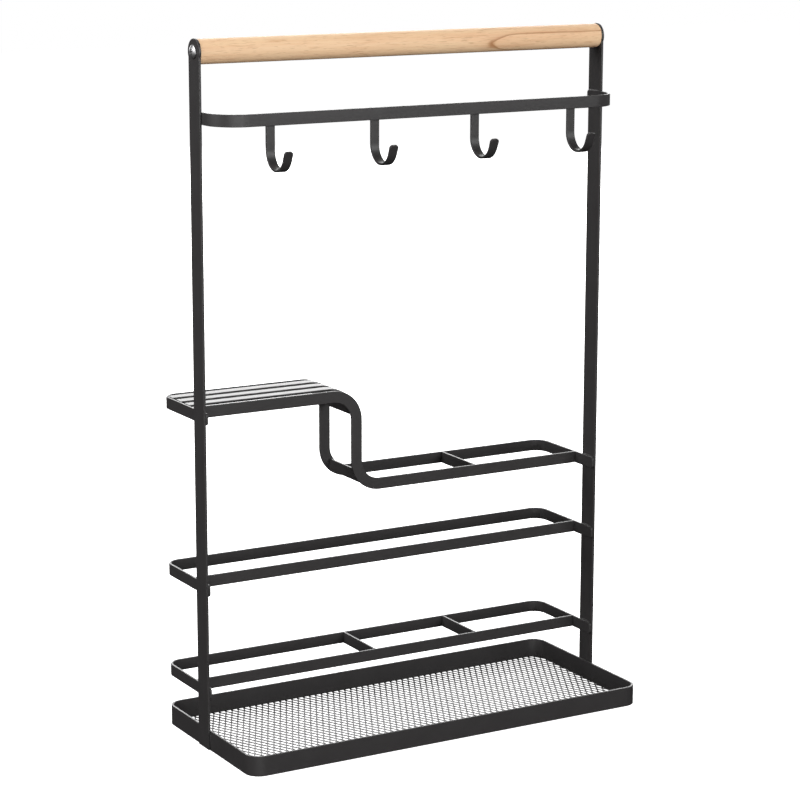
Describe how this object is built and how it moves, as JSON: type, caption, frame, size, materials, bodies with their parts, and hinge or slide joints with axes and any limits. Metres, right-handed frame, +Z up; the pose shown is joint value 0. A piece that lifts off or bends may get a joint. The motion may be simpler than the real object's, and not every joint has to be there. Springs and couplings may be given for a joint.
{
  "type": "counter organiser rack",
  "caption": "Freestanding steel-strip rack with a wooden carrying handle, a front rail of mug hooks, a stepped slatted shelf, open loops and a mesh-floored tray.",
  "frame": {"origin": "middle of the footprint, on the surface the rack stands on", "axes": "+X along the width to the right, -Y to the front where the hooks are, +Z up"},
  "size_m": [0.3852, 0.162, 0.583],
  "materials": {
    "black_steel": "satin black powder coat",
    "wood": "pale sanded beech",
    "screw_steel": "bright zinc-plated"
  },
  "bodies": {
    "root": {"left_upright": "black_steel", "right_upright": "black_steel", "handle_dowel": "wood", "left_screw": "screw_steel", "right_screw": "screw_steel", "hook_rail": "black_steel", "hook_1": "black_steel", "hook_2": "black_steel", "hook_3": "black_steel", "hook_4": "black_steel", "shelf_back_strip": "black_steel", "shelf_front_strip": "black_steel", "slat_1": "black_steel", "slat_2": "black_steel", "slat_3": "black_steel", "upper_cross_bar": "black_steel", "lower_cross_bar": "black_steel", "shelf_divider": "black_steel", "middle_back_strip": "black_steel", "middle_front_bar": "black_steel", "lower_back_strip": "black_steel", "lower_front_bar": "black_steel", "lower_divider_left": "black_steel", "lower_divider_right": "black_steel", "tray_rim": "black_steel", "tray_mesh": "black_steel"}
  },
  "joints": []
}
